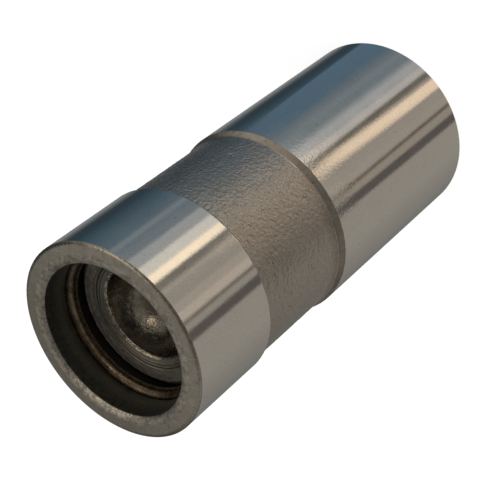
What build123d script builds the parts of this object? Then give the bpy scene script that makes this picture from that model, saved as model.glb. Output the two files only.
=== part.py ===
from build123d import *
import math
import os

# Outside of the body
barrel_diameter = 21.386
lifter_length = 49.3
mouth_band_length = 11.0
foot_band_length = 24.75
waist_relief = 0.37
mouth_step_length = 0.4
shoulder_taper_length = 0.65
shoulder_root_radius = 1.2
mouth_edge_width = 0.45
mouth_edge_drop = 0.1
foot_edge_chamfer = 0.15

# Bore of the body
bore_diameter = 16.7
bore_edge_width = 0.65
bore_edge_drop = 0.16
seat_top_depth = 5.15
chamber_diameter = 11.2
foot_thickness = 6.5
drill_point_angle = 118.0
oil_feed_diameter = 2.0
oil_feed_depth = 17.5

# Retaining ring and its groove
ring_depth = 3.8
ring_wire_diameter = 1.4
ring_mean_diameter = 16.4
ring_gap = 3.5
ring_end_chamfer = 0.12
groove_ease = 0.05

# Push rod seat
seat_height = 7.5
seat_side_clearance = 0.05
seat_edge_chamfer = 0.7
seat_foot_chamfer = 0.3
lead_in_diameter = 11.2
lead_in_depth = 0.3
line_margin = 0.15
line_spacing = 0.4
line_width = 0.22
line_depth = 0.15
socket_mouth_diameter = 9.8
socket_ball_diameter = 10.0
seat_oil_hole_diameter = 2.2
seat_relief_diameter = 8.6
seat_relief_depth = 2.2

# Metering disc and its pocket
disc_diameter = 13.2
disc_thickness = 0.7
disc_lift = 0.45
disc_stop_gap = 0.05
disc_side_clearance = 0.3
disc_orifice_diameter = 0.9
disc_notch_count = 3
disc_notch_diameter = 2.6
disc_edge_chamfer = 0.1

# Sizes that follow from the driving ones
barrel_radius = barrel_diameter / 2
bore_radius = bore_diameter / 2
waist_radius = barrel_radius - waist_relief
seat_top = lifter_length - seat_top_depth
seat_foot = seat_top - seat_height
pocket_depth = disc_thickness + disc_lift + disc_stop_gap
pocket_radius = disc_diameter / 2 + disc_side_clearance
pocket_floor = seat_foot - pocket_depth
chamber_radius = chamber_diameter / 2
ring_centre_height = lifter_length - ring_depth
ring_mean_radius = ring_mean_diameter / 2
wire_radius = ring_wire_diameter / 2
groove_radius = wire_radius + groove_ease


def turned(face):
    """Solid of revolution about the lifter's axis, from a half section drawn in X and Z."""
    return revolve(face, Axis.Z)


def section(*points):
    """Closed half section through points given as radius and height."""
    return make_face(Plane.XZ * Polyline(*points, close=True))


def corner(face, radius, height):
    """Corner of a half section that lies at this radius and height."""
    place = Vector(radius, 0, height)
    return min(face.vertices(), key=lambda vertex: (Vector(vertex) - place).length)


def outer_form():
    """Foot band, cast waist and mouth band, as one turned blank."""
    mouth_band_foot = lifter_length - mouth_band_length
    waist_foot = foot_band_length + shoulder_taper_length
    rim = (barrel_radius - mouth_edge_width, lifter_length)
    band_end = (barrel_radius, lifter_length - mouth_edge_drop)
    outline = Polyline(
        rim,
        (0, lifter_length),
        (0, 0),
        (barrel_radius, 0),
        (barrel_radius, foot_band_length),
        (waist_radius, waist_foot),
        (waist_radius, mouth_band_foot - mouth_step_length),
        (barrel_radius, mouth_band_foot),
        band_end,
    )
    rounding = TangentArc(rim, band_end, tangent=(1, 0))
    face = make_face(Plane.XZ * (outline + rounding))
    face = fillet(corner(face, waist_radius, waist_foot), shoulder_root_radius)
    face = chamfer(corner(face, barrel_radius, 0), foot_edge_chamfer)
    return turned(face)


def stepped_bore():
    """Space inside the body: bore, pocket of the disc and oil chamber with its drill point."""
    point_depth = chamber_radius / math.tan(math.radians(drill_point_angle / 2))
    rim = (bore_radius + bore_edge_width, lifter_length)
    wall_end = (bore_radius, lifter_length - bore_edge_drop)
    outline = Polyline(
        rim,
        (0, lifter_length),
        (0, foot_thickness),
        (chamber_radius, foot_thickness + point_depth),
        (chamber_radius, pocket_floor),
        (pocket_radius, pocket_floor),
        (pocket_radius, seat_foot),
        (bore_radius, seat_foot),
        wall_end,
    )
    rounding = TangentArc(rim, wall_end, tangent=(-1, 0))
    return turned(make_face(Plane.XZ * (outline + rounding)))


def ring_groove():
    """Round groove whose floor the ring springs out against."""
    groove_centre = ring_mean_radius + wire_radius - groove_radius
    return Pos(0, 0, ring_centre_height) * Torus(groove_centre, groove_radius)


def oil_feed():
    """Hole from the waist into the oil chamber."""
    height = lifter_length - oil_feed_depth
    hole = Cylinder(oil_feed_diameter / 2, barrel_radius, align=(Align.CENTER, Align.CENTER, Align.MIN))
    return Pos(0, 0, height) * Rot(-90, 0, 0) * hole


def lifter_body():
    return outer_form() - stepped_bore() - ring_groove() - oil_feed()


def retaining_ring():
    """Open ring of round wire, its gap towards -Y."""
    gap_angle = math.degrees(ring_gap / ring_mean_radius)
    wire = Plane.XZ * Pos(ring_mean_radius, ring_centre_height) * Circle(wire_radius)
    ring = revolve(wire, Axis.Z, 360 - gap_angle)
    ends = ring.edges().filter_by(GeomType.CIRCLE).filter_by(lambda edge: edge.radius < 2 * wire_radius)
    ring = chamfer(ends, ring_end_chamfer)
    return Rot(0, 0, gap_angle / 2 - 90) * ring


def seat_blank():
    """Turned cup without its socket, with a relief below that leaves an even web."""
    outer = bore_radius - seat_side_clearance
    face = section((0, seat_foot), (outer, seat_foot), (outer, seat_top), (0, seat_top))
    face = chamfer(corner(face, outer, seat_top), seat_edge_chamfer)
    face = chamfer(corner(face, outer, seat_foot), seat_foot_chamfer)
    relief = Cylinder(seat_relief_diameter / 2, seat_relief_depth, align=(Align.CENTER, Align.CENTER, Align.MIN))
    return turned(face) - Pos(0, 0, seat_foot) * relief


def socket_space():
    """Lead-in cone, ball socket and the oil hole at its lowest point."""
    mouth_radius = socket_mouth_diameter / 2
    ball_radius = socket_ball_diameter / 2
    mouth_height = seat_top - lead_in_depth
    ball_height = mouth_height + math.sqrt(ball_radius**2 - mouth_radius**2)
    lead_in = Pos(0, 0, mouth_height) * Cone(
        mouth_radius,
        lead_in_diameter / 2,
        lead_in_depth,
        align=(Align.CENTER, Align.CENTER, Align.MIN),
    )
    above = Pos(0, 0, mouth_height) * Cylinder(
        ball_radius,
        socket_ball_diameter,
        align=(Align.CENTER, Align.CENTER, Align.MIN),
    )
    ball = Pos(0, 0, ball_height) * Sphere(ball_radius) - above
    oil_hole = Pos(0, 0, seat_foot) * Cylinder(
        seat_oil_hole_diameter / 2,
        seat_height,
        align=(Align.CENTER, Align.CENTER, Align.MIN),
    )
    return lead_in + ball + oil_hole


def turned_line(radius):
    """Fine groove turned into the seat's top face."""
    half_width = line_width / 2
    face = section(
        (radius - half_width, seat_top),
        (radius, seat_top - line_depth),
        (radius + half_width, seat_top),
    )
    return turned(face)


def pushrod_seat():
    seat = seat_blank() - socket_space()
    first_line = lead_in_diameter / 2 + line_margin
    for line_radius in (first_line, first_line + line_spacing):
        seat = seat - turned_line(line_radius)
    return seat


def metering_disc():
    """Thin valve disc, notched at its rim where the ledge leaves the chamber open."""
    disc = Cylinder(disc_diameter / 2, disc_thickness, align=(Align.CENTER, Align.CENTER, Align.MIN))
    disc = chamfer(disc.edges(), disc_edge_chamfer)
    notch = Cylinder(disc_notch_diameter / 2, 3 * disc_thickness)
    disc = disc - PolarLocations(disc_diameter / 2, disc_notch_count) * notch
    disc = disc - Cylinder(disc_orifice_diameter / 2, 3 * disc_thickness)
    return Pos(0, 0, pocket_floor) * disc


os.makedirs("parts", exist_ok=True)
export_step(lifter_body(), "parts/lifter_body.step")
export_step(retaining_ring(), "parts/retaining_ring.step")
export_step(pushrod_seat(), "parts/pushrod_seat.step")
export_step(metering_disc(), "parts/metering_disc.step")
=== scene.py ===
import math

import bmesh
import bpy
import numpy as np
from mathutils import Matrix, Vector, noise


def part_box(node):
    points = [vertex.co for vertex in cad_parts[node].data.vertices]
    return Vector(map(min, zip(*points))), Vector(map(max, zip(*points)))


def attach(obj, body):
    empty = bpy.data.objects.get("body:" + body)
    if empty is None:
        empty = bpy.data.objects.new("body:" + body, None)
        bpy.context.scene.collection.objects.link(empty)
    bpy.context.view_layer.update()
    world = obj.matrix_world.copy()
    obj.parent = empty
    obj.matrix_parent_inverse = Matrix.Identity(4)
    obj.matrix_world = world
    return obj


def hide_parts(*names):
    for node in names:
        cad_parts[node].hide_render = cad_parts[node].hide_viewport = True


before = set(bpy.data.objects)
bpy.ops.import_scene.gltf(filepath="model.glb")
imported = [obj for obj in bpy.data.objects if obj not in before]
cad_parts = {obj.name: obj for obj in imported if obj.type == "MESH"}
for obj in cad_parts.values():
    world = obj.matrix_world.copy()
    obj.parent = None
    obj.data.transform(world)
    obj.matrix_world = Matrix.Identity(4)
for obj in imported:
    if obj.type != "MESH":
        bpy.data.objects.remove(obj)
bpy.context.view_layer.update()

MM = 0.001

# The photograph's camera, in barrel radii and degrees, about the lifter's axis, its clipping in metres
IMAGE_SIDE = 480
SENSOR = 36.0
FOCAL_PIXELS = 1340.85
CAMERA_DISTANCE = 13.2974
CAMERA_ELEVATION = 43.032
CAMERA_YAW = 0.8512
CAMERA_PITCH = 0.7307
CAMERA_ROLL = -128.5902
AIM_HEIGHT = 2.29601
AIM_OFFSET_MM = 0.14
CLIP_START = 0.005
CLIP_END = 5.0

# Sizes and places read from the frame, in millimetres
BARREL_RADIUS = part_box("lifter_body")[1].x / MM
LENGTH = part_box("lifter_body")[1].z / MM
SEAT_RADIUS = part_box("pushrod_seat")[1].x / MM
SEAT_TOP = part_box("pushrod_seat")[1].z / MM
SEAT_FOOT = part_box("pushrod_seat")[0].z / MM
DISC_RADIUS = -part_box("metering_disc")[0].x / MM
POCKET_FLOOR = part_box("metering_disc")[0].z / MM

# Body, in millimetres, as the solid has it
WAIST_RELIEF = 0.37
WAIST_RADIUS = BARREL_RADIUS - WAIST_RELIEF
FOOT_CHAMFER = 0.15
FOOT_BAND_END = 24.75
SHOULDER_LENGTH = 0.65
SHOULDER_END = FOOT_BAND_END + SHOULDER_LENGTH
MOUTH_BAND_LENGTH = 11.0
MOUTH_BAND_START = LENGTH - MOUTH_BAND_LENGTH
MOUTH_STEP_LENGTH = 0.4
MOUTH_STEP_START = MOUTH_BAND_START - MOUTH_STEP_LENGTH
SEAT_CLEARANCE = 0.05
BORE_RADIUS = SEAT_RADIUS + SEAT_CLEARANCE
DISC_CLEARANCE = 0.3
POCKET_RADIUS = DISC_RADIUS + DISC_CLEARANCE
CHAMBER_RADIUS = 5.6
CHAMBER_FOOT = 6.5
DRILL_POINT_ANGLE = 118.0
CHAMBER_POINT = CHAMBER_FOOT + CHAMBER_RADIUS / math.tan(math.radians(DRILL_POINT_ANGLE / 2))
OIL_FEED_RADIUS = 1.0
OIL_FEED_DEPTH = 17.5
OIL_FEED_HEIGHT = LENGTH - OIL_FEED_DEPTH

# Roundings of the mouth, a little fuller than in the solid
OUTER_EDGE_WIDTH = 0.45
OUTER_EDGE_DROP = 0.16
INNER_EDGE_WIDTH = 0.8
INNER_EDGE_DROP = 0.18
BURR_REACH = 0.25

# Ring and seat, in millimetres, as the solids have them
RING_DEPTH = 3.8
RING_HEIGHT = LENGTH - RING_DEPTH
RING_RADIUS = 8.2
RING_GAP = 3.5
RING_END_CHAMFER = 0.12
WIRE_RADIUS = 0.7
GROOVE_EASE = 0.05
GROOVE_RADIUS = WIRE_RADIUS + GROOVE_EASE
SEAT_CHAMFER = 0.7
SEAT_FOOT_CHAMFER = 0.3
SEAT_HOLE_RADIUS = 1.1
RELIEF_RADIUS = 4.3
RELIEF_DEPTH = 2.2
RELIEF_TOP = SEAT_FOOT + RELIEF_DEPTH
BALL_RADIUS = 5.0
SOCKET_MOUTH_RADIUS = 4.9
LEAD_IN_RADIUS = 5.6
LEAD_IN_DEPTH = 0.3
FIRST_LINE_RADIUS = LEAD_IN_RADIUS + 0.15
LINE_SPACING = 0.4
LINE_RADII = (FIRST_LINE_RADIUS, FIRST_LINE_RADIUS + LINE_SPACING)
LINE_HALF_WIDTH = 0.11
LINE_DEPTH = 0.15
LAND_START = LINE_RADII[-1] + 0.25

# Meshes: segments round the axis, radius of the first ring of points round a centre, and the radius
# in metres below which a point lies on the axis
BARREL_SEGMENTS = 480
SEAT_SEGMENTS = 300
CENTRE_RADIUS = 0.5
ON_AXIS = 1e-9

# Grain of the cast waist and waver of the bands' edges: waves per millimetre, and depth in millimetres
LUMP_SCALE = 0.7
LUMP_DEPTH = 0.014
GRAIN_SCALE = 2.7
GRAIN_DEPTH = 0.034
PIT_SCALE = 1.4
PIT_DEPTH = 0.3
PIT_ONSET = 0.56
WAVER_SCALE = 2.2
WAVER_DEPTH = 0.06


def photo_camera():
    """Camera of the photograph, found from the outlines of the bands and the mouth."""
    elevation = math.radians(CAMERA_ELEVATION)
    yaw = math.radians(CAMERA_YAW)
    pitch = math.radians(CAMERA_PITCH)
    roll = math.radians(CAMERA_ROLL)
    right = Vector((1, 0, 0))
    forward = Vector((0, math.cos(elevation), -math.sin(elevation)))
    down = forward.cross(right)
    basis = Matrix((right, down, forward))
    turn = Matrix.Rotation(pitch, 3, "X") @ Matrix.Rotation(yaw, 3, "Y") @ Matrix.Rotation(roll, 3, "Z")
    rows = turn @ basis
    axes = Matrix((rows[0], -rows[1], -rows[2])).transposed()
    back = Vector((0, -math.cos(elevation), math.sin(elevation))) * CAMERA_DISTANCE
    place = (Vector((0, 0, AIM_HEIGHT)) + back) * BARREL_RADIUS * MM
    place.z += AIM_OFFSET_MM * MM
    data = bpy.data.cameras.new("camera")
    data.sensor_width = SENSOR
    data.lens = FOCAL_PIXELS / IMAGE_SIDE * SENSOR
    data.clip_start = CLIP_START
    data.clip_end = CLIP_END
    camera = bpy.data.objects.new("camera", data)
    camera.matrix_world = Matrix.Translation(place) @ axes.to_4x4()
    bpy.context.scene.collection.objects.link(camera)
    bpy.context.scene.camera = camera


photo_camera()


# Profiles: lists of (radius, height, zone) in millimetres, joined corner to corner

GROUND, CAST, TURNED, BORE, BURRED = range(5)
LAND, SOCKET, LEAD_IN, POLISHED = range(4)


def run(start, end, steps, zone):
    """Points from start up to, not including, end."""
    across = end[0] - start[0]
    up = end[1] - start[1]
    return [(start[0] + across * (k / steps), start[1] + up * (k / steps), zone) for k in range(steps)]


def sweep(centre, radius, first, last, steps, zone):
    """Points on an arc from angle first up to, not including, angle last, in degrees."""
    turns = [math.radians(first + (last - first) * k / steps) for k in range(steps)]
    return [(centre[0] + radius * math.cos(a), centre[1] + radius * math.sin(a), zone) for a in turns]


def holds(corner, distances, zone):
    """Points straight above or below a corner, which keep the shading flat beside it."""
    return [(corner[0], corner[1] + distance, zone) for distance in distances]


def beside(corner, out=0.0, up=0.0):
    """Point outward or up from a corner, on a side that meets there."""
    return corner[0] + out, corner[1] + up


def rounded(before, corner, after, radius, steps, zone):
    """Points of a small rounding of a corner."""
    towards_before = Vector(before) - Vector(corner)
    towards_after = Vector(after) - Vector(corner)
    towards_before.normalize()
    towards_after.normalize()
    half = towards_before.angle(towards_after) / 2
    reach = radius / math.tan(half)
    first = Vector(corner) + towards_before * reach
    last = Vector(corner) + towards_after * reach
    points = []
    for k in range(steps + 1):
        t = k / steps
        p = first * (1 - t) ** 2 + Vector(corner) * 2 * t * (1 - t) + last * t**2
        points.append((p.x, p.y, zone))
    return points


def edge_rounding(rim, end, steps, zone):
    """Arc that leaves the flat rim without a corner and meets the wall at end."""
    width = abs(end[0] - rim[0])
    drop = rim[1] - end[1]
    radius = (width**2 + drop**2) / (2 * drop)
    side = 1 if end[0] > rim[0] else -1
    full = math.asin(width / radius)
    points = []
    for k in range(steps + 1):
        a = full * k / steps
        points.append((rim[0] + side * radius * math.sin(a), rim[1] - radius * (1 - math.cos(a)), zone))
    return points


def turned_mesh(name, profile, segments, closed=False):
    """Mesh of a half section turned about Z, with poles where it starts and ends on the axis."""
    rows = [(r * MM, z * MM) for r, z, _ in profile]
    angles = np.arange(segments) * 2 * math.pi / segments
    verts = []
    first = []
    for r, z in rows:
        first.append(len(verts))
        if r < ON_AXIS:
            verts.append((0.0, 0.0, z))
        else:
            verts.extend((r * math.cos(a), r * math.sin(a), z) for a in angles)
    faces = []
    zones = []
    pairs = list(range(len(rows) - 1))
    if closed:
        pairs.append(len(rows) - 1)
    for i in pairs:
        j = (i + 1) % len(rows)
        zone = profile[i][2]
        pole_i = rows[i][0] < ON_AXIS
        pole_j = rows[j][0] < ON_AXIS
        for k in range(segments):
            n = (k + 1) % segments
            if pole_i:
                faces.append((first[i], first[j] + n, first[j] + k))
            elif pole_j:
                faces.append((first[i] + k, first[i] + n, first[j]))
            else:
                faces.append((first[i] + k, first[i] + n, first[j] + n, first[j] + k))
            zones.append(zone)
    mesh = bpy.data.meshes.new(name)
    mesh.from_pydata(verts, [], faces)
    mesh.polygons.foreach_set("material_index", zones)
    mesh.polygons.foreach_set("use_smooth", [True] * len(zones))
    mesh.update()
    return mesh


def piece_from(mesh, body, slot, *nodes):
    """Object of a finished mesh that rides on a body and stands for CAD nodes."""
    piece = bpy.data.objects.new(mesh.name, mesh)
    bpy.context.scene.collection.objects.link(piece)
    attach(piece, body)
    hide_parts(*nodes)
    return piece


# Geometry


def outside_profile():
    """Foot, foot band, shoulder, cast waist, step and mouth band."""
    chamfer_start = (BARREL_RADIUS - FOOT_CHAMFER, 0.0)
    chamfer_end = (BARREL_RADIUS, FOOT_CHAMFER)
    foot_end = beside(chamfer_start, out=-0.08)
    band_end = (BARREL_RADIUS, FOOT_BAND_END)
    root = (WAIST_RADIUS, SHOULDER_END)
    step = (WAIST_RADIUS, MOUTH_STEP_START)
    band_start = (BARREL_RADIUS, MOUTH_BAND_START)
    mouth_end = (BARREL_RADIUS, LENGTH - OUTER_EDGE_DROP)
    chamfer_rounding = 0.06
    shoulder_rounding = 0.07
    root_rounding = 1.1
    step_root_rounding = 0.1
    step_rounding = 0.05
    root_arc = (band_end, root, beside(root, up=1), root_rounding, 6)
    step_arc = (step, band_start, beside(band_start, up=1), step_rounding, 3)
    points = [(0.0, 0.0, GROUND)]
    points += run((CENTRE_RADIUS, 0.0), foot_end, 6, GROUND)
    points.append((*foot_end, GROUND))
    points += rounded((0, 0), chamfer_start, chamfer_end, chamfer_rounding, 3, GROUND)
    points += rounded(chamfer_start, chamfer_end, band_end, chamfer_rounding, 3, GROUND)
    points += holds(chamfer_end, (0.1,), GROUND)
    points += run(beside(chamfer_end, up=0.15), beside(band_end, up=-0.3), 6, GROUND)
    points += holds(band_end, (-0.1, -0.05), GROUND)
    points += rounded(beside(band_end, up=-1), band_end, root, shoulder_rounding, 3, TURNED)
    points += rounded(*root_arc, TURNED)[:-2]
    points += rounded(*root_arc, CAST)[-2:]
    points += run(beside(root, up=0.5), beside(step, up=-0.12), 84, CAST)
    points += rounded(beside(step, up=-1), step, band_start, step_root_rounding, 3, CAST)
    points += rounded(*step_arc, CAST)[:-1]
    points += rounded(*step_arc, GROUND)[-1:]
    points += holds(band_start, (0.1,), GROUND)
    points += run(beside(band_start, up=0.3), beside(mouth_end, up=-0.3), 4, GROUND)
    points += holds(mouth_end, (-0.12, -0.08), GROUND)
    return points


def mouth_profile():
    """End face of the mouth, with its outer and inner edge."""
    outer_rim = (BARREL_RADIUS - OUTER_EDGE_WIDTH, LENGTH)
    outer_end = (BARREL_RADIUS, LENGTH - OUTER_EDGE_DROP)
    inner_rim = (BORE_RADIUS + INNER_EDGE_WIDTH, LENGTH)
    inner_end = (BORE_RADIUS, LENGTH - INNER_EDGE_DROP)
    burr_start = beside(inner_rim, out=BURR_REACH)
    outer_rounding = 0.05
    inner_rounding = 0.06
    outer_slope = beside(outer_end, out=-0.1, up=0.075)
    inner_slope = beside(inner_end, out=0.1, up=0.05)
    points = rounded(beside(outer_end, up=-1), outer_end, outer_slope, outer_rounding, 4, TURNED)
    points += list(reversed(edge_rounding(outer_rim, outer_end, 8, TURNED)[:-1]))
    points += run(beside(outer_rim, out=-0.1), burr_start, 5, TURNED)
    points += run(burr_start, beside(inner_rim, out=0.05), 2, BURRED)
    points += edge_rounding(inner_rim, inner_end, 10, BURRED)[:-1]
    points += rounded(inner_slope, inner_end, beside(inner_end, up=-1), inner_rounding, 4, BURRED)
    return points


def inside_profile():
    """Bore with the ring's groove, shoulder of the seat, pocket of the disc and oil chamber."""
    groove_centre = (RING_RADIUS + WIRE_RADIUS - GROOVE_RADIUS, RING_HEIGHT)
    groove_half = math.degrees(math.acos((BORE_RADIUS - groove_centre[0]) / GROOVE_RADIUS))
    bore_start = (BORE_RADIUS, LENGTH - 0.4)
    above_groove = (BORE_RADIUS, RING_HEIGHT + 0.9)
    below_groove = (BORE_RADIUS, RING_HEIGHT - 0.8)
    shoulder = (BORE_RADIUS, SEAT_FOOT)
    pocket_top = (POCKET_RADIUS, SEAT_FOOT)
    pocket_foot = (POCKET_RADIUS, POCKET_FLOOR)
    chamber_top = (CHAMBER_RADIUS, POCKET_FLOOR)
    chamber_end = (CHAMBER_RADIUS, CHAMBER_POINT)
    point_ring = (CENTRE_RADIUS, CHAMBER_FOOT + 0.3)
    points = holds(bore_start, (0.1,), BORE)
    points += run(bore_start, above_groove, 3, BORE)
    points += sweep(groove_centre, GROOVE_RADIUS, groove_half, -groove_half, 10, BORE)
    points += run(below_groove, shoulder, 4, BORE)
    points += run(shoulder, pocket_top, 2, BORE)
    points += run(pocket_top, pocket_foot, 2, BORE)
    points += run(pocket_foot, chamber_top, 2, BORE)
    points += run(chamber_top, chamber_end, 3, BORE)
    points += run(chamber_end, point_ring, 2, BORE)
    points += [(0.0, CHAMBER_FOOT, BORE)]
    return points


def barrel_profile():
    """Half section of the barrel, from the middle of its foot round to the point of its chamber."""
    return outside_profile() + mouth_profile() + inside_profile()


def roughen(mesh):
    """Grains the cast waist, and leaves the edges of the ground bands slightly uneven."""
    low = SHOULDER_END + 0.1
    high = MOUTH_STEP_START - 0.05
    shoulder_fade = 0.4
    step_fade = 0.2
    band_edge = 0.07
    bare_edge = 0.05
    wall = WAIST_RADIUS - 0.02
    for vertex in mesh.vertices:
        place = vertex.co / MM
        z = place.z
        radius = math.hypot(place.x, place.y)
        if radius < wall:
            continue
        if min(abs(z - FOOT_BAND_END), abs(z - MOUTH_BAND_START)) < band_edge:
            vertex.co.z += noise.noise(place * WAVER_SCALE) * WAVER_DEPTH * MM
        if z < FOOT_BAND_END + bare_edge or z > MOUTH_BAND_START - bare_edge:
            continue
        from_shoulder = min(max((z - low) / shoulder_fade, 0.3), 1.0)
        from_step = min(max((high - z) / step_fade, 0.2), 1.0)
        lumps = noise.noise(place * LUMP_SCALE + Vector((3, 7, 1))) * LUMP_DEPTH
        grain = noise.noise(place * GRAIN_SCALE + Vector((11, 2, 5))) * GRAIN_DEPTH
        pits = min(noise.noise(place * PIT_SCALE + Vector((5, 5, 9))) + PIT_ONSET, 0.0) * PIT_DEPTH
        change = (lumps + grain + pits) * (from_shoulder * from_step)
        vertex.co.x *= 1 + change / radius
        vertex.co.y *= 1 + change / radius


def oil_feed_cutter():
    """Round bar where the oil feed hole goes, its corners turned off those of the barrel's mesh."""
    inner_end = CHAMBER_RADIUS - 1.1
    outer_end = BARREL_RADIUS + 1.8
    middle = (inner_end + outer_end) / 2
    turn = math.radians(2.3)
    place = Matrix.Translation((0, middle * MM, OIL_FEED_HEIGHT * MM))
    shape = bmesh.new()
    bmesh.ops.create_cone(
        shape,
        cap_ends=True,
        segments=48,
        radius1=OIL_FEED_RADIUS * MM,
        radius2=OIL_FEED_RADIUS * MM,
        depth=(outer_end - inner_end) * MM,
        matrix=place @ Matrix.Rotation(math.pi / 2, 4, "X") @ Matrix.Rotation(turn, 4, "Z"),
    )
    mesh = bpy.data.meshes.new("oil_feed_cutter")
    shape.to_mesh(mesh)
    shape.free()
    cutter = bpy.data.objects.new("oil_feed_cutter", mesh)
    bpy.context.scene.collection.objects.link(cutter)
    return cutter


def clean_cut(mesh):
    """Takes away the slivers and doubled faces that a cut leaves along its edge."""
    merge_distance = 0.004 * MM
    sliver_width = 0.001 * MM
    shape = bmesh.new()
    shape.from_mesh(mesh)
    bmesh.ops.remove_doubles(shape, verts=shape.verts, dist=merge_distance)
    bmesh.ops.dissolve_degenerate(shape, edges=shape.edges, dist=sliver_width)
    bmesh.ops.triangulate(shape, faces=[face for face in shape.faces if len(face.verts) > 4])
    twins = {}
    for face in shape.faces:
        twins.setdefault(frozenset(face.verts), []).append(face)
    doubled = [face for faces in twins.values() if len(faces) > 1 for face in faces]
    bmesh.ops.delete(shape, geom=doubled, context="FACES")
    shape.to_mesh(mesh)
    shape.free()


def cut_oil_feed(piece):
    """Cuts the oil feed hole through the waist, towards +Y."""
    cutter = oil_feed_cutter()
    cut = piece.modifiers.new("oil_feed", "BOOLEAN")
    cut.operation = "DIFFERENCE"
    cut.solver = "EXACT"
    cut.object = cutter
    bpy.context.view_layer.update()
    graph = bpy.context.evaluated_depsgraph_get()
    made = bpy.data.meshes.new_from_object(piece.evaluated_get(graph))
    made.name = piece.name
    clean_cut(made)
    piece.modifiers.clear()
    piece.data = made
    bpy.data.objects.remove(cutter)


def on_lead_in(radius):
    """Point of the lead-in cone at this radius."""
    slope = 0.32
    return radius, SEAT_TOP - (LEAD_IN_RADIUS - radius) * slope


def socket_profile():
    """Oil hole, ball socket, its worn edge, and the lead-in cone with the turned lines round it."""
    mouth_height = SEAT_TOP - LEAD_IN_DEPTH
    ball_height = mouth_height + math.sqrt(BALL_RADIUS**2 - SOCKET_MOUTH_RADIUS**2)
    mouth_angle = math.degrees(math.asin((ball_height - mouth_height) / BALL_RADIUS))
    hole_angle = math.degrees(math.asin(SEAT_HOLE_RADIUS / BALL_RADIUS))
    hole_foot = (SEAT_HOLE_RADIUS, RELIEF_TOP)
    hole_edge = (SEAT_HOLE_RADIUS, ball_height - math.sqrt(BALL_RADIUS**2 - SEAT_HOLE_RADIUS**2))
    mouth = (SOCKET_MOUTH_RADIUS, SEAT_TOP)
    below_mouth = beside(mouth, out=-0.03, up=-1)
    worn_edge = beside(mouth, out=-0.02, up=-0.23)
    hole_rounding = 0.08
    worn_rounding = 0.34
    lead_in_rounding = 0.05
    edge_share = 2.0
    lead_in = (LEAD_IN_RADIUS, SEAT_TOP)
    cone_start = on_lead_in(LEAD_IN_RADIUS - 0.4)
    cone_end = on_lead_in(LEAD_IN_RADIUS - 0.1)
    points = run(hole_foot, beside(hole_edge, up=-0.1), 3, LAND)
    points += rounded(hole_foot, hole_edge, beside(hole_edge, out=0.5, up=0.1), hole_rounding, 3, LAND)
    ball_start = -90 + hole_angle + edge_share
    ball_end = -mouth_angle - edge_share
    points += sweep((0, ball_height), BALL_RADIUS, ball_start, ball_end, 44, SOCKET)
    points += rounded(below_mouth, worn_edge, lead_in, worn_rounding, 12, POLISHED)
    points += run(cone_start, cone_end, 3, LEAD_IN)
    points += rounded(cone_start, lead_in, beside(lead_in, out=1), lead_in_rounding, 3, LEAD_IN)
    for radius in LINE_RADII:
        points.append((radius - LINE_HALF_WIDTH, SEAT_TOP, LEAD_IN))
        points.append((radius, SEAT_TOP - LINE_DEPTH, LEAD_IN))
        points.append((radius + LINE_HALF_WIDTH, SEAT_TOP, LEAD_IN))
    return points


def seat_profile():
    """Half section of the push rod seat, from its oil hole over the top and round to the relief."""
    top_edge = (SEAT_RADIUS - SEAT_CHAMFER, SEAT_TOP)
    side_edge = (SEAT_RADIUS, SEAT_TOP - SEAT_CHAMFER)
    side_foot = (SEAT_RADIUS, SEAT_FOOT + SEAT_FOOT_CHAMFER)
    foot_edge = (SEAT_RADIUS - SEAT_FOOT_CHAMFER, SEAT_FOOT)
    relief_foot = (RELIEF_RADIUS, SEAT_FOOT)
    relief_corner = (RELIEF_RADIUS, RELIEF_TOP)
    top_rounding = 0.16
    side_rounding = 0.12
    points = socket_profile()
    points += run((LAND_START, SEAT_TOP), beside(top_edge, out=-0.15), 6, LAND)
    points += rounded(beside(top_edge, out=-1), top_edge, side_edge, top_rounding, 5, LAND)
    points += rounded(top_edge, side_edge, side_foot, side_rounding, 4, LAND)
    points += run(beside(side_edge, up=-0.3), beside(side_foot, up=0.2), 6, LAND)
    points += [(*side_foot, LAND), (*foot_edge, LAND)]
    points += run(beside(foot_edge, out=-0.2), relief_foot, 3, LAND)
    points += run(relief_foot, relief_corner, 2, LAND)
    points += run(relief_corner, (SEAT_HOLE_RADIUS + 0.3, RELIEF_TOP), 3, LAND)
    return points


def wire_stations():
    """Places along the ring's wire, as angle and radius of the wire, with rounded ends."""
    steps = 300
    gap = RING_GAP / RING_RADIUS
    span = 2 * math.pi - gap
    begin = gap / 2 - math.pi / 2
    end_turn = RING_END_CHAMFER / RING_RADIUS
    rounding = [(0.0, 0.0), (0.0, 0.6), (0.25 * end_turn, 0.78), (0.6 * end_turn, 0.93)]
    head = [(begin + turn, WIRE_RADIUS * size) for turn, size in rounding]
    middle = [(begin + span * k / steps, WIRE_RADIUS) for k in range(1, steps)]
    tail = [(begin + span - turn, WIRE_RADIUS * size) for turn, size in reversed(rounding)]
    return head + middle + tail


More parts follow.
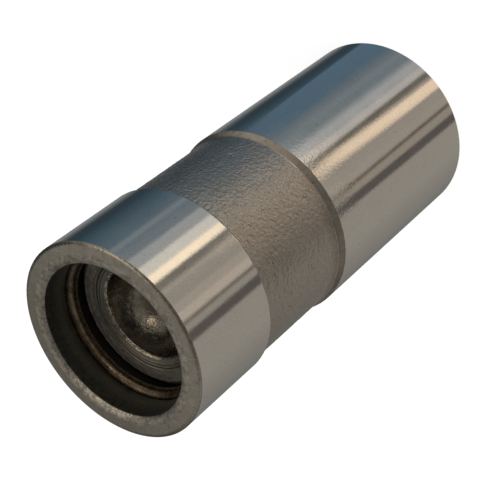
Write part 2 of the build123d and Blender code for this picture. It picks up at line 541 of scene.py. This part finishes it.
def ring_mesh():
    """Open ring of round wire, its gap towards -Y."""
    around = 24
    shape = bmesh.new()
    loops = []
    for turn, radius in wire_stations():
        out = Vector((math.cos(turn), math.sin(turn), 0))
        middle = out * RING_RADIUS + Vector((0, 0, RING_HEIGHT))
        if radius == 0:
            loops.append([shape.verts.new(middle * MM)])
            continue
        loop = []
        for k in range(around):
            a = 2 * math.pi * k / around
            towards = out * math.cos(a) + Vector((0, 0, math.sin(a)))
            loop.append(shape.verts.new((middle + towards * radius) * MM))
        loops.append(loop)
    for low, high in zip(loops, loops[1:]):
        for k in range(around):
            n = (k + 1) % around
            if len(low) == 1:
                shape.faces.new((low[0], high[n], high[k]))
            elif len(high) == 1:
                shape.faces.new((low[k], low[n], high[0]))
            else:
                shape.faces.new((low[k], low[n], high[n], high[k]))
    bmesh.ops.recalc_face_normals(shape, faces=shape.faces)
    mesh = bpy.data.meshes.new("snap_ring")
    shape.to_mesh(mesh)
    shape.free()
    mesh.polygons.foreach_set("use_smooth", [True] * len(mesh.polygons))
    return mesh


barrel_mesh = turned_mesh("barrel", barrel_profile(), BARREL_SEGMENTS)
roughen(barrel_mesh)
barrel = piece_from(barrel_mesh, "lifter", "cast_iron", "lifter_body")
seat_mesh = turned_mesh("socket_cup", seat_profile(), SEAT_SEGMENTS, closed=True)
seat_mesh.flip_normals()
seat = piece_from(seat_mesh, "lifter", "seat_steel", "pushrod_seat")
ring = piece_from(ring_mesh(), "lifter", "ring_steel", "retaining_ring")
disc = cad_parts["metering_disc"]


# Materials


class Nodes:
    """Short calls that add and join the nodes of one tree."""

    def __init__(self, tree):
        self.tree = tree

    def add(self, kind, **values):
        """New node of a kind, with its settings."""
        node = self.tree.nodes.new(kind)
        for name, value in values.items():
            setattr(node, name, value)
        return node

    def join(self, output, target):
        """Leads an output to an input."""
        self.tree.links.new(output, target)

    def set(self, socket, value):
        """Gives an input a fixed value, or joins it to another node's output."""
        if isinstance(value, bpy.types.NodeSocket):
            self.join(value, socket)
        else:
            socket.default_value = value

    def math(self, operation, first, second=0.0):
        """Result of a calculation with one or two values."""
        node = self.add("ShaderNodeMath", operation=operation)
        self.set(node.inputs[0], first)
        self.set(node.inputs[1], second)
        return node.outputs[0]

    def millimetres(self, scale=(1, 1, 1)):
        """Place on the object in millimetres, stretched."""
        place = self.add("ShaderNodeTexCoord").outputs["Object"]
        mapping = self.add("ShaderNodeMapping")
        mapping.inputs["Scale"].default_value = [share / MM for share in scale]
        self.join(place, mapping.inputs["Vector"])
        return mapping.outputs[0]

    def noise(self, scale, detail=2.0, rough=0.5, stretch=(1, 1, 1)):
        """Cloudy value about 0.5, with this many waves to the millimetre."""
        node = self.add("ShaderNodeTexNoise")
        self.join(self.millimetres(stretch), node.inputs["Vector"])
        node.inputs["Scale"].default_value = scale
        node.inputs["Detail"].default_value = detail
        node.inputs["Roughness"].default_value = rough
        return node.outputs["Fac"]

    def spread(self, value, low, high, to_low=0.0, to_high=1.0):
        """Value that goes from to_low to to_high while the given one goes from low to high."""
        node = self.add("ShaderNodeMapRange")
        self.set(node.inputs["Value"], value)
        node.inputs["From Min"].default_value = low
        node.inputs["From Max"].default_value = high
        node.inputs["To Min"].default_value = to_low
        node.inputs["To Max"].default_value = to_high
        return node.outputs[0]

    def blend(self, share, first, second):
        """Colour between two others, the second one where the share is 1."""
        node = self.add("ShaderNodeMix", data_type="RGBA")
        self.set(node.inputs[0], share)
        self.set(node.inputs[6], first)
        self.set(node.inputs[7], second)
        return node.outputs[2]

    def coordinates(self):
        """X, Y and Z on the object, in millimetres."""
        parts = self.add("ShaderNodeSeparateXYZ")
        self.join(self.millimetres(), parts.inputs[0])
        return parts.outputs["X"], parts.outputs["Y"], parts.outputs["Z"]

    def near_shoulder(self):
        """Share that grows along the foot band towards the waist."""
        away = self.math("ABSOLUTE", self.math("SUBTRACT", self.coordinates()[2], FOOT_BAND_END))
        return self.spread(away, 6.0, 0.0, 0.12, 1.0)

    def from_axis(self):
        """Distance from the lifter's axis, in millimetres."""
        x, y, _ = self.coordinates()
        squares = self.math("ADD", self.math("POWER", x, 2.0), self.math("POWER", y, 2.0))
        return self.math("SQRT", squares)

    def rings(self, scale):
        """Noise that changes only with the distance from the axis, as a turning tool leaves it."""
        place = self.add("ShaderNodeCombineXYZ")
        self.join(self.from_axis(), place.inputs[0])
        node = self.add("ShaderNodeTexNoise")
        self.join(place.outputs[0], node.inputs["Vector"])
        node.inputs["Scale"].default_value = scale
        node.inputs["Detail"].default_value = 3.0
        return node.outputs["Fac"]

    def bump(self, height, strength, distance_mm, normal=None):
        """Surface raised by a height, on top of an earlier bump if one is given."""
        node = self.add("ShaderNodeBump")
        self.join(height, node.inputs["Height"])
        self.set(node.inputs["Strength"], strength)
        node.inputs["Distance"].default_value = distance_mm * MM
        if normal is not None:
            self.join(normal, node.inputs["Normal"])
        return node.outputs[0]


def new_material(name):
    """Metal, with the calls that build its nodes and with its shader."""
    material = bpy.data.materials.new(name)
    material.use_nodes = True
    tree = material.node_tree
    shader = tree.nodes["Principled BSDF"]
    shader.inputs["Metallic"].default_value = 1.0
    return material, Nodes(tree), shader


def ground_iron():
    """Bright ground band: fine lines run round the barrel and stretch the reflections along it."""
    material, n, shader = new_material("ground_iron")
    lines = n.noise(6.0, 3.0, 0.6, (0.06, 0.06, 1))
    grit = n.noise(3.4, 3.0, 0.6)
    dust = n.noise(6.5, 2.0, 0.6)
    clouds = n.noise(0.35, 3.0, 0.6)
    specks = n.spread(n.noise(2.4, 2.0, 0.5), 0.7, 0.76)
    tone = n.blend(clouds, (0.575, 0.57, 0.555, 1), (0.65, 0.645, 0.635, 1))
    tone = n.blend(n.spread(dust, 0.25, 0.75, 0.0, 0.45), tone, (0.38, 0.37, 0.36, 1))
    n.set(shader.inputs["Base Color"], n.blend(n.math("MULTIPLY", specks, 0.5), tone, (0.28, 0.25, 0.2, 1)))
    n.set(shader.inputs["Roughness"], n.spread(clouds, 0.3, 0.7, 0.07, 0.12))
    shader.inputs["Anisotropic"].default_value = 0.7
    shader.inputs["Anisotropic Rotation"].default_value = 0.25
    tangent = n.add("ShaderNodeTangent", direction_type="RADIAL", axis="Z")
    n.join(tangent.outputs[0], shader.inputs["Tangent"])
    ground = n.bump(lines, 0.3, 0.01)
    n.set(shader.inputs["Normal"], n.bump(grit, n.near_shoulder(), 0.02, ground))
    return material


def cast_iron():
    """Rough waist as it left the mould and the blast: dull, grained, warm grey; painted shade at its root.
    """
    material, n, shader = new_material("cast_iron")
    grain = n.noise(3.3, 2.0, 0.55)
    fine = n.noise(5.0, 2.0, 0.6)
    clouds = n.noise(0.3, 2.0, 0.5)
    tone = n.blend(clouds, (0.358, 0.333, 0.308, 1), (0.443, 0.415, 0.388, 1))
    x, _, z = n.coordinates()
    # Painted shade: darker down towards the root of the shoulder, and more so towards -X
    root = n.math("MULTIPLY", n.spread(z, 27.0, 25.6), n.spread(x, 1.0, -4.0, 0.0, 0.7))
    tone = n.blend(root, tone, (0.24, 0.218, 0.196, 1))
    dark = n.spread(fine, 0.3, 0.5, 0.25, 0.0)
    n.set(shader.inputs["Base Color"], n.blend(dark, tone, (0.13, 0.11, 0.09, 1)))
    n.set(shader.inputs["Roughness"], n.spread(fine, 0.3, 0.7, 0.25, 0.335))
    worn = n.spread(x, -4.0, 3.0, 0.6, 1.0)
    first = n.bump(n.math("MULTIPLY", grain, worn), 1.0, 0.1)
    n.set(shader.inputs["Normal"], n.bump(fine, 1.0, 0.03, first))
    return material


def turned_iron():
    """Dull turned faces: the end face round the mouth, its outer edge and the shoulder; painted shade
    towards +Y.
    """
    material, n, shader = new_material("turned_iron")
    grain = n.noise(2.4, 3.0, 0.6)
    patches = n.noise(1.1, 3.0, 0.6)
    tone = n.blend(n.spread(patches, 0.3, 0.7), (0.35, 0.345, 0.315, 1), (0.47, 0.44, 0.405, 1))
    _, y, _ = n.coordinates()
    # Painted shade: darker towards +Y, the far side
    painted_far_shade = n.spread(y, -4.0, 7.0, 0.0, 0.6)
    tone = n.blend(painted_far_shade, tone, (0.20, 0.195, 0.185, 1))
    dark = n.spread(grain, 0.28, 0.42, 0.5, 0.0)
    n.set(shader.inputs["Base Color"], n.blend(dark, tone, (0.15, 0.135, 0.115, 1)))
    n.set(shader.inputs["Roughness"], n.spread(grain, 0.3, 0.7, 0.2, 0.32))
    coarse = n.bump(patches, 0.6, 0.05)
    n.set(shader.inputs["Normal"], n.bump(grain, 0.7, 0.035, coarse))
    return material


def burred_iron():
    """Inner edge of the mouth: rough, a painted glint on part of its far side, painted shade on its near
    side.
    """
    material, n, shader = new_material("burred_iron")
    grain = n.noise(1.8, 3.0, 0.65)
    fine = n.noise(5.0, 2.0, 0.6)
    glint_bearing = 119.0
    tone = n.blend(n.spread(grain, 0.35, 0.65), (0.27, 0.258, 0.235, 1), (0.56, 0.533, 0.488, 1))
    x, y, _ = n.coordinates()
    # Painted shade: darker towards -Y, the near side
    tone = n.blend(n.spread(y, -6.0, -2.0, 0.0, 0.18), tone, (0.13, 0.125, 0.113, 1))
    # Painted glint: pale along the inner edge round bearing 119 degrees, broken up by the grain
    bearing = n.math("DEGREES", n.math("ARCTAN2", y, x))
    away = n.math("ABSOLUTE", n.math("SUBTRACT", bearing, glint_bearing))
    painted_glint = n.math("MULTIPLY", n.spread(away, 36.0, 18.0), n.spread(n.from_axis(), 9.3, 8.8))
    painted_glint = n.math("MULTIPLY", painted_glint, n.spread(grain, 0.35, 0.65, 0.15, 0.6))
    n.set(shader.inputs["Base Color"], n.blend(painted_glint, tone, (0.95, 0.90, 0.82, 1)))
    n.set(shader.inputs["Roughness"], n.spread(fine, 0.3, 0.7, 0.24, 0.36))
    first = n.bump(grain, 1.0, 0.06)
    n.set(shader.inputs["Normal"], n.bump(fine, 1.0, 0.025, first))
    return material


def bore_iron():
    """Wall of the bore with turning lines, lighter down towards the ring, painted black as shade below it.
    """
    material, n, shader = new_material("bore_iron")
    lines = n.noise(5.0, 3.0, 0.6, (0.1, 0.1, 1))
    clouds = n.noise(2.6, 4.0, 0.6)
    _, _, height = n.coordinates()
    tone = n.blend(n.spread(clouds, 0.3, 0.7), (0.07, 0.074, 0.064, 1), (0.17, 0.172, 0.15, 1))
    near_ring = n.spread(height, LENGTH - 1.2, RING_HEIGHT + 0.9, 0.0, 0.8)
    tone = n.blend(near_ring, tone, (0.34, 0.34, 0.295, 1))
    # Painted shade: black below the ring
    painted_shade_below_ring = n.spread(height, RING_HEIGHT + 0.5, RING_HEIGHT + 0.3)
    n.set(shader.inputs["Base Color"], n.blend(painted_shade_below_ring, tone, (0.03, 0.029, 0.025, 1)))
    n.set(shader.inputs["Roughness"], n.spread(lines, 0.3, 0.7, 0.4, 0.55))
    n.set(shader.inputs["Normal"], n.bump(lines, 0.3, 0.02))
    return material


def seat_steel():
    """Top and sides of the seat: dull dark steel with turning lines, and painted shade towards -X."""
    material, n, shader = new_material("seat_steel")
    clouds = n.noise(2.0, 4.0, 0.65)
    grain = n.noise(3.0, 3.0, 0.6)
    lines = n.rings(3.0)
    tone = n.blend(n.spread(clouds, 0.3, 0.7), (0.38, 0.37, 0.355, 1), (0.86, 0.825, 0.78, 1))
    x, _, _ = n.coordinates()
    # Painted shade: darker towards -X
    tone = n.blend(n.spread(x, 0.0, -6.5, 0.0, 0.5), tone, (0.22, 0.215, 0.20, 1))
    tone = n.blend(n.spread(lines, 0.38, 0.58, 0.6, 0.0), tone, (0.20, 0.20, 0.19, 1))
    n.set(shader.inputs["Base Color"], tone)
    n.set(shader.inputs["Roughness"], n.spread(grain, 0.3, 0.7, 0.46, 0.6))
    turned = n.bump(lines, 0.8, 0.1)
    n.set(shader.inputs["Normal"], n.bump(grain, 0.8, 0.05, turned))
    return material


def lead_in_steel():
    """Turned lines and cone at the mouth of the socket, darker than the top of the seat."""
    material, n, shader = new_material("lead_in_steel")
    clouds = n.noise(1.6, 4.0, 0.6)
    grain = n.noise(3.2, 3.0, 0.6)
    lines = n.rings(4.0)
    tone = n.blend(n.spread(clouds, 0.3, 0.7), (0.19, 0.19, 0.172, 1), (0.33, 0.322, 0.292, 1))
    tone = n.blend(n.spread(lines, 0.38, 0.58, 0.6, 0.0), tone, (0.09, 0.088, 0.08, 1))
    n.set(shader.inputs["Base Color"], tone)
    n.set(shader.inputs["Roughness"], n.spread(grain, 0.3, 0.7, 0.34, 0.46))
    turned = n.bump(lines, 0.8, 0.08)
    n.set(shader.inputs["Normal"], n.bump(grain, 0.8, 0.05, turned))
    return material


def socket_steel():
    """Ball socket: brown from use, with a fine grain that breaks up the lamp's reflection."""
    material, n, shader = new_material("socket_steel")
    clouds = n.noise(0.9, 3.0, 0.6)
    grain = n.noise(1.7, 3.0, 0.6)
    tone = n.blend(n.spread(clouds, 0.3, 0.7), (0.19, 0.18, 0.157, 1), (0.32, 0.296, 0.257, 1))
    tone = n.blend(n.spread(grain, 0.3, 0.5, 0.3, 0.0), tone, (0.09, 0.08, 0.066, 1))
    n.set(shader.inputs["Base Color"], tone)
    n.set(shader.inputs["Roughness"], n.spread(grain, 0.35, 0.65, 0.3, 0.17))
    n.set(shader.inputs["Normal"], n.bump(grain, 1.0, 0.055))
    return material


def polished_steel():
    """Edge of the socket, worn bright by the push rod and pitted."""
    material, n, shader = new_material("polished_steel")
    grain = n.noise(2.3, 3.0, 0.65)
    pale = n.spread(grain, 0.4, 0.6)
    n.set(shader.inputs["Base Color"], n.blend(pale, (0.13, 0.123, 0.108, 1), (0.47, 0.435, 0.385, 1)))
    n.set(shader.inputs["Roughness"], n.spread(grain, 0.3, 0.7, 0.32, 0.2))
    n.set(shader.inputs["Normal"], n.bump(grain, 1.0, 0.04))
    return material


def ring_steel():
    """Drawn wire, brown and cloudy from heat treatment."""
    material, n, shader = new_material("ring_steel")
    clouds = n.noise(1.4, 4.0, 0.6)
    grain = n.noise(4.5, 3.0, 0.6)
    tone = n.blend(n.spread(clouds, 0.3, 0.7), (0.075, 0.056, 0.041, 1), (0.235, 0.186, 0.136, 1))
    n.set(shader.inputs["Base Color"], tone)
    n.set(shader.inputs["Roughness"], n.spread(grain, 0.3, 0.7, 0.22, 0.36))
    n.set(shader.inputs["Normal"], n.bump(grain, 0.7, 0.035))
    return material


def disc_steel():
    """Ground valve disc."""
    material, n, shader = new_material("disc_steel")
    clouds = n.noise(1.2, 3.0)
    grain = n.noise(5.0, 2.0)
    n.set(shader.inputs["Base Color"], n.blend(clouds, (0.42, 0.42, 0.42, 1), (0.55, 0.55, 0.54, 1)))
    n.set(shader.inputs["Roughness"], n.spread(grain, 0.3, 0.7, 0.25, 0.38))
    return material


def give(piece, *materials):
    """Materials of a piece, in the order of the zones of its profile."""
    for material in materials:
        piece.data.materials.append(material)


give(barrel, ground_iron(), cast_iron(), turned_iron(), bore_iron(), burred_iron())
cut_oil_feed(barrel)
give(seat, seat_steel(), socket_steel(), lead_in_steel(), polished_steel())
give(ring, ring_steel())
for slot in disc.material_slots:
    slot.material = disc_steel()


# Studio: what stands round the lifter and shows in its bright metal, by bearing and elevation in
# degrees. The upright sides show what lies low, and the flat and rounded faces what lies high.

LOW_WALLS = (
    (-180, (0.43, 0.40, 0.345)),
    (-98, (0.45, 0.40, 0.34)),
    (-86, (0.46, 0.41, 0.35)),
    (-74, (0.34, 0.31, 0.28)),
    (-70, (0.50, 0.49, 0.46)),
    (-53, (0.55, 0.56, 0.56)),
    (-43, (0.25, 0.30, 0.32)),
    (-26, (0.24, 0.28, 0.31)),
    (-18, (0.18, 0.235, 0.275)),
    (-4, (0.135, 0.19, 0.235)),
    (22, (0.062, 0.11, 0.145)),
    (34, (0.042, 0.067, 0.088)),
    (46, (0.042, 0.06, 0.072)),
    (54, (0.14, 0.155, 0.165)),
    (66, (0.27, 0.28, 0.28)),
    (90, (0.235, 0.235, 0.225)),
    (114, (0.20, 0.195, 0.18)),
    (135, (0.285, 0.27, 0.245)),
    (179, (0.43, 0.40, 0.345)),
)
HIGH_WALLS = (
    (-180, (0.25, 0.225, 0.19)),
    (-150, (0.22, 0.20, 0.17)),
    (-120, (0.18, 0.157, 0.133)),
    (-90, (0.22, 0.19, 0.16)),
    (-60, (0.42, 0.363, 0.296)),
    (-10, (0.56, 0.50, 0.42)),
    (15, (0.26, 0.245, 0.22)),
    (35, (0.06, 0.065, 0.065)),
    (64, (0.08, 0.08, 0.078)),
    (84, (0.30, 0.275, 0.24)),
    (100, (0.28, 0.255, 0.22)),
    (112, (0.11, 0.10, 0.086)),
    (150, (0.14, 0.125, 0.105)),
    (179, (0.25, 0.225, 0.19)),
)
CEILING = (0.35, 0.33, 0.285)
ZENITH = (0.13, 0.115, 0.095)

# Cards and gaps in front of the low walls: bearing high up and low down, half width,
# share high up and low down, colour
CARDS = (
    (-137.2, -139.8, 5.6, 1.0, 1.0, (0.15, 0.132, 0.122)),
    (-129.0, -130.5, 2.2, 0.0, 1.0, (0.46, 0.385, 0.305)),
    (-122.0, -122.0, 1.9, 0.7, 1.0, (0.165, 0.12, 0.08)),
    (-114.5, -114.5, 5.0, 1.0, 0.2, (0.68, 0.585, 0.48)),
    (-105.0, -105.0, 4.5, 0.7, 0.2, (0.58, 0.505, 0.42)),
    (-84.5, -84.5, 2.0, 0.9, 0.0, (0.54, 0.47, 0.39)),
    (-77.0, -74.5, 3.6, 0.6, 1.0, (0.21, 0.19, 0.15)),
    (-42.0, -42.0, 6.5, 1.0, 0.0, (0.50, 0.505, 0.50)),
    (-57.0, -57.0, 7.5, 1.0, 0.0, (0.98, 0.92, 0.81)),
    (-66.0, -66.0, 4.0, 0.0, 1.0, (0.68, 0.64, 0.60)),
    (-15.5, -15.5, 3.5, 1.0, 0.0, (0.27, 0.32, 0.345)),
    (-31.0, -31.0, 4.0, 0.0, 1.0, (0.27, 0.315, 0.34)),
    (0.0, 9.0, 18.0, 0.0, 1.0, (0.125, 0.205, 0.28)),
    (-67.0, -67.0, 4.8, 1.0, 0.0, (1.7, 1.4, 1.02)),
    (-83.3, -90.2, 6.9, 0.0, 1.0, (1.3, 1.02, 0.74)),
)
CARD_EDGE = 3.0

# Elevations between which one part of the studio turns into the next
CARD_SLANT = (-51, -46)
CARD_BREAK = (-46, -43)
LOW_TO_HIGH_WALLS = (-36, -16)
WALLS_TO_CEILING = (18, 34)
CEILING_TO_ZENITH = (44, 62)

# Soft lamps and dark gaps: bearing, elevation, half width and colour
GLINTS = (
    (165.0, -22.0, 7.5, (0.11, 0.10, 0.086)),
    (-168.0, -22.0, 7.5, (0.11, 0.10, 0.086)),
    (-147.0, -22.0, 7.5, (0.11, 0.10, 0.086)),
    (-27.0, 36.0, 15.0, (0.5, 0.46, 0.38)),
    (-58.0, 49.0, 5.2, (4.8, 4.0, 2.95)),
    (-28.0, 27.0, 5.0, (1.2, 1.05, 0.85)),
    (26.0, 60.0, 8.5, (1.5, 1.34, 1.08)),
    (52.0, 62.0, 8.0, (1.1, 0.98, 0.79)),
    (72.0, 58.0, 6.0, (0.85, 0.76, 0.62)),
    (52.0, 33.0, 15.0, (0.03, 0.03, 0.036)),
    (108.0, 25.0, 8.0, (0.06, 0.056, 0.05)),
)
GLINT_CORE = 0.6
GLINT_REACH = 1.4


def heading(bearing, elevation):
    """Unit vector towards a bearing and an elevation, both in degrees."""
    up = math.radians(elevation)
    across = math.radians(bearing)
    flat = math.cos(up)
    return Vector((flat * math.cos(across), flat * math.sin(across), math.sin(up)))


def walls(n, bearing, stops):
    """Colour of the walls at a bearing given in degrees."""
    ramp = n.add("ShaderNodeValToRGB")
    elements = ramp.color_ramp.elements
    elements.remove(elements[1])
    elements[0].position = 0.0
    elements[0].color = stops[0][1] + (1,)
    for angle, colour in stops[1:]:
        element = elements.new((angle + 180) / 360)
        element.color = colour + (1,)
    n.join(n.spread(bearing, -180, 180), ramp.inputs[0])
    return ramp.outputs[0]


def climb(n, height, elevations, to_low=0.0, to_high=1.0):
    """Value that goes from to_low to to_high between two elevations in degrees."""
    low, high = (math.sin(math.radians(elevation)) for elevation in elevations)
    return n.spread(height, low, high, to_low, to_high)


def with_cards(n, low, bearing, height):
    """Low walls with the cards and gaps in front of them."""
    raised = climb(n, height, CARD_BREAK)
    for middle_high, middle_low, half_width, share_high, share_low, colour in CARDS:
        middle = climb(n, height, CARD_SLANT, middle_low, middle_high)
        away = n.math("ABSOLUTE", n.math("SUBTRACT", bearing, middle))
        inside = n.spread(away, half_width + CARD_EDGE / 2, half_width - CARD_EDGE / 2)
        share = n.math("MULTIPLY", inside, n.spread(raised, 0, 1, share_low, share_high))
        low = n.blend(share, low, colour + (1,))
    return low


def with_glints(n, colour, direction):
    """Studio with its soft lamps and dark gaps."""
    for bearing, elevation, half_width, brightness in GLINTS:
        along = n.add("ShaderNodeVectorMath", operation="DOT_PRODUCT")
        n.join(direction, along.inputs[0])
        along.inputs[1].default_value = heading(bearing, elevation)
        near = math.cos(math.radians(half_width * GLINT_CORE))
        far = math.cos(math.radians(half_width * GLINT_REACH))
        colour = n.blend(n.spread(along.outputs["Value"], far, near), colour, brightness + (1,))
    return colour


def studio(n):
    """Colour of the studio in the direction that a reflection leaves in."""
    direction = n.add("ShaderNodeTexCoord").outputs["Generated"]
    parts = n.add("ShaderNodeSeparateXYZ")
    n.join(direction, parts.inputs[0])
    height = parts.outputs["Z"]
    bearing = n.math("DEGREES", n.math("ARCTAN2", parts.outputs["Y"], parts.outputs["X"]))
    low = with_cards(n, walls(n, bearing, LOW_WALLS), bearing, height)
    colour = n.blend(climb(n, height, LOW_TO_HIGH_WALLS), low, walls(n, bearing, HIGH_WALLS))
    colour = n.blend(climb(n, height, WALLS_TO_CEILING), colour, CEILING + (1,))
    colour = n.blend(climb(n, height, CEILING_TO_ZENITH), colour, ZENITH + (1,))
    return with_glints(n, colour, direction)


def studio_world():
    """World: white to the camera, even soft light to matt surfaces, and the studio to shiny ones."""
    world = bpy.data.worlds.new("studio")
    world.use_nodes = True
    bpy.context.scene.world = world
    tree = world.node_tree
    tree.nodes.clear()
    n = Nodes(tree)
    path = n.add("ShaderNodeLightPath")
    plain = n.blend(path.outputs["Is Camera Ray"], (0.75, 0.75, 0.75, 1), (1, 1, 1, 1))
    seen = n.blend(path.outputs["Is Glossy Ray"], plain, studio(n))
    background = n.add("ShaderNodeBackground")
    n.join(seen, background.inputs["Color"])
    output = n.add("ShaderNodeOutputWorld")
    n.join(background.outputs[0], output.inputs["Surface"])


def floor():
    """Pale floor that keeps the lifter's shadow and stays out of its reflections."""
    half = 3.0
    corners = [(-half, -half, 0), (half, -half, 0), (half, half, 0), (-half, half, 0)]
    mesh = bpy.data.meshes.new("floor")
    mesh.from_pydata(corners, [], [(0, 1, 2, 3)])
    piece = bpy.data.objects.new("floor", mesh)
    bpy.context.scene.collection.objects.link(piece)
    piece.visible_glossy = False
    material, n, shader = new_material("floor")
    shader.inputs["Metallic"].default_value = 0.0
    shader.inputs["Roughness"].default_value = 0.9
    shader.inputs["Specular IOR Level"].default_value = 0.0
    path = n.add("ShaderNodeLightPath")
    seen = n.math("MAXIMUM", path.outputs["Is Camera Ray"], path.outputs["Is Transmission Ray"])
    n.set(shader.inputs["Base Color"], n.blend(seen, (0.86, 0.86, 0.86, 1), (0.3, 0.3, 0.3, 1)))
    shader.inputs["Emission Color"].default_value = (1, 1, 1, 1)
    n.join(n.math("MULTIPLY", seen, 0.8), shader.inputs["Emission Strength"])
    mesh.materials.append(material)


def soft_lamp(name, place, power, size):
    """Lamp that lights the floor round the lifter, and stays out of the reflections."""
    data = bpy.data.lights.new(name, "AREA")
    data.energy = power
    data.size = size
    lamp = bpy.data.objects.new(name, data)
    lamp.location = place
    lamp.rotation_mode = "QUATERNION"
    lamp.rotation_quaternion = (-Vector(place)).to_track_quat("-Z", "Y")
    lamp.visible_glossy = False
    bpy.context.scene.collection.objects.link(lamp)


studio_world()
floor()
soft_lamp("key", place=(-0.35, -0.3, 0.6), power=1.6, size=0.5)
soft_lamp("fill", place=(0.5, -0.2, 0.4), power=0.6, size=0.5)

bpy.context.scene.view_settings.view_transform = "Standard"
